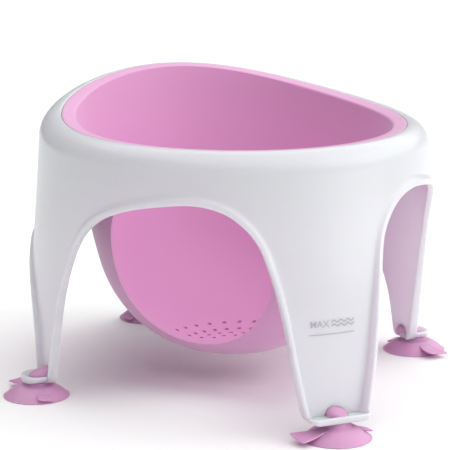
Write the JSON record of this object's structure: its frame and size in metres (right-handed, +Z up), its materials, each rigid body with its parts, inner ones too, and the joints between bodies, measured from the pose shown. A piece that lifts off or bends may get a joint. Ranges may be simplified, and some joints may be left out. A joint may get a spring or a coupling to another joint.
{
  "type": "baby bath seat",
  "caption": "Moulded bath seat: white ring shell on integral legs, soft seat bucket with leg holes and crotch post, suction cups under the feet.",
  "frame": {"origin": "on the bath floor at the middle of the four suction cups", "axes": "+Z up, -Y out of the seat's front (the crotch post side), +X to the right as seen from the front"},
  "size_m": [0.3506, 0.3904, 0.214],
  "materials": {
    "shell_white": "glossy white moulded polypropylene",
    "seat_pink": "satin pink soft-touch moulding",
    "cup_pink": "satin pink thermoplastic rubber"
  },
  "bodies": {
    "root": {"outer_shell": "shell_white", "seat_bucket": "seat_pink", "suction_cup_front": "cup_pink", "suction_cup_right": "cup_pink", "suction_cup_back": "cup_pink", "suction_cup_left": "cup_pink"}
  },
  "joints": []
}
